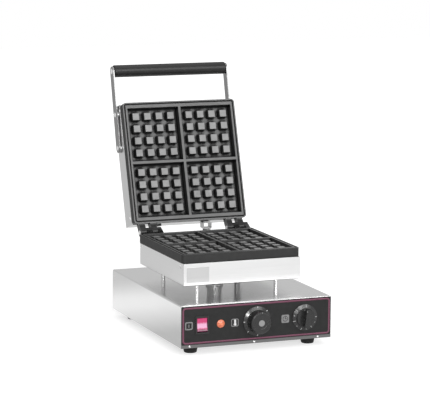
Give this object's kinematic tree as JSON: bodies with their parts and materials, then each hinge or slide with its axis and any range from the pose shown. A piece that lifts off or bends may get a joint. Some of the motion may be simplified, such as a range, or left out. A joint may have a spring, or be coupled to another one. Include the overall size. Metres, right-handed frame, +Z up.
{
  "type": "waffle maker",
  "caption": "Counter-top electric waffle maker: a hinged head with studded cast plates and a bar handle, on a flat steel base with a front control panel.",
  "frame": {"origin": "on the floor plane under the feet, at the middle of the open machine's width and depth", "axes": "+X to the user's right, +Y to the back, +Z up"},
  "size_m": [0.305, 0.5176, 0.5018],
  "materials": {
    "stainless": "brushed stainless sheet",
    "deck_steel": "stainless sheet, nearly mirror bright on top",
    "panel_black": "satin black printed front panel with a plum border line",
    "cast": "cast iron with a satin black non-stick coat",
    "bright_steel": "bright machine screws, pins and knob disc",
    "post_steel": "turned steel",
    "loop_steel": "dull bent steel strip",
    "arm_steel": "brushed stainless flat bar",
    "grip_black": "black moulded handle sleeve",
    "knob_black": "black moulded knobs with white marks",
    "rocker_lit": "lit translucent magenta rocker",
    "frame_black": "black switch frame",
    "lamp_amber": "lit amber pilot lens",
    "foot_rubber": "black rubber",
    "gland_black": "black cable gland and bushings",
    "duct_grey": "dark grey painted tube",
    "inner_metal": "plain steel inside the case",
    "inner_plastic": "pale switch bodies and terminal block",
    "copper": "copper bulb and tube",
    "fibre": "mineral-fibre insulation block",
    "badge": "bare satin plate"
  },
  "bodies": {
    "base": {"base_housing": "deck_steel", "bottom_plate": "stainless", "control_panel": "panel_black", "lip_screws": "bright_steel", "foot_fl": "foot_rubber", "foot_fr": "foot_rubber", "foot_rl": "foot_rubber", "foot_rr": "foot_rubber", "foot_screws": "inner_metal", "rocker_frame": "frame_black", "lamp_lens": "lamp_amber", "lamp_body": "frame_black", "thermostat": "inner_plastic", "sensing_bulb": "copper", "timer": "inner_metal", "terminal_block": "inner_plastic", "cable_gland": "gland_black", "gland_nut": "gland_black", "post_fl": "post_steel", "post_fr": "post_steel", "post_rl": "post_steel", "post_rr": "post_steel", "post_nuts": "inner_metal", "wire_duct": "duct_grey", "bulb_sleeve": "duct_grey", "lower_tray": "stainless", "tray_screws": "bright_steel", "lower_plate": "cast", "lower_element": "inner_metal", "lower_clamp": "inner_metal", "lower_clamp_screws": "inner_metal", "lower_insulation": "fibre", "tray_bushing": "gland_black", "badge_plate": "badge", "hinge_pin_left": "bright_steel", "hinge_pin_right": "bright_steel", "pin_clips": "bright_steel", "stop_loop": "loop_steel"},
    "lid": {"upper_cover": "stainless", "cover_screws": "bright_steel", "upper_plate": "cast", "upper_element": "inner_metal", "upper_clamp": "inner_metal", "upper_clamp_screws": "inner_metal", "upper_insulation": "fibre", "lid_bushing": "gland_black", "handle_arm_left": "arm_steel", "handle_arm_right": "arm_steel", "arm_bolts": "bright_steel", "arm_nuts": "inner_metal", "handle_grip": "grip_black", "grip_rod": "inner_metal", "grip_screws": "bright_steel"},
    "thermostat_knob": {"thermostat_dial": "knob_black", "dial_disc": "bright_steel", "dial_shaft": "inner_metal"},
    "timer_dial": {"timer_knob": "knob_black", "timer_shaft": "inner_metal"},
    "switch_rocker": {"rocker": "rocker_lit"}
  },
  "joints": [
    {"name": "lid_hinge", "type": "hinge", "parent": "base", "child": "lid", "pos_m": [0, 0.10974, 0.178], "axis": [1, 0, 0], "range_deg": [0, 107.6]},
    {"name": "thermostat_turn", "type": "hinge", "parent": "base", "child": "thermostat_knob", "pos_m": [0, -0.24676, 0.0585], "axis": [0, 1, 0], "range_deg": [0, 270]},
    {"name": "timer_turn", "type": "hinge", "parent": "base", "child": "timer_dial", "pos_m": [0.0975, -0.24476, 0.0585], "axis": [0, 1, 0], "range_deg": [0, 300]},
    {"name": "rocker_tilt", "type": "hinge", "parent": "base", "child": "switch_rocker", "pos_m": [-0.111, -0.23026, 0.0585], "axis": [1, 0, 0], "range_deg": [0, 14]}
  ]
}
